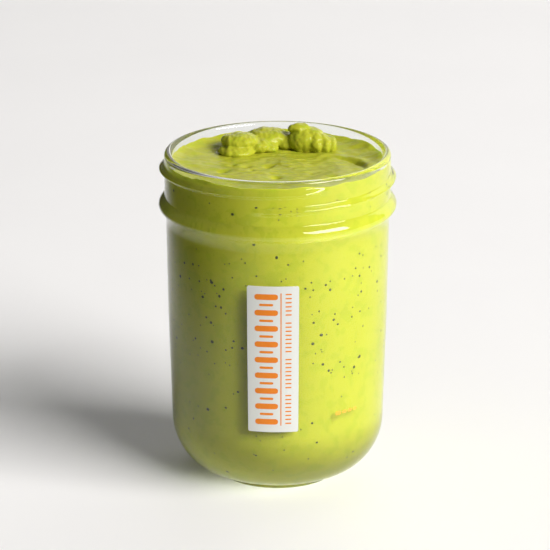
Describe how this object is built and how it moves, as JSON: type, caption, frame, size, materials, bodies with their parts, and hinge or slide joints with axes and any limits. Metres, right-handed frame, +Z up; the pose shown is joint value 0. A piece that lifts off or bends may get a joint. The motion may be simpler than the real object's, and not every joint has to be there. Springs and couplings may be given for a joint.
{
  "type": "green smoothie in a glass jar",
  "caption": "Thick green smoothie with a swirled dollop on top, filling an open wide-mouthed clear glass jar with a screw thread, a bead and a plain paper label.",
  "frame": {"origin": "centre of the jar's base, on the surface it stands on", "axes": "+Z up along the jar's axis, -Y towards the label, which is the front, and +X to the right of someone who faces the label"},
  "size_m": [0.0862, 0.0862, 0.1265],
  "materials": {
    "clear_glass": "clear and polished",
    "green_smoothie": "wet, smooth and opaque",
    "label_paper": "matt white with orange bars"
  },
  "bodies": {
    "root": {"jar": "clear_glass", "smoothie": "green_smoothie", "label": "label_paper"}
  },
  "joints": []
}
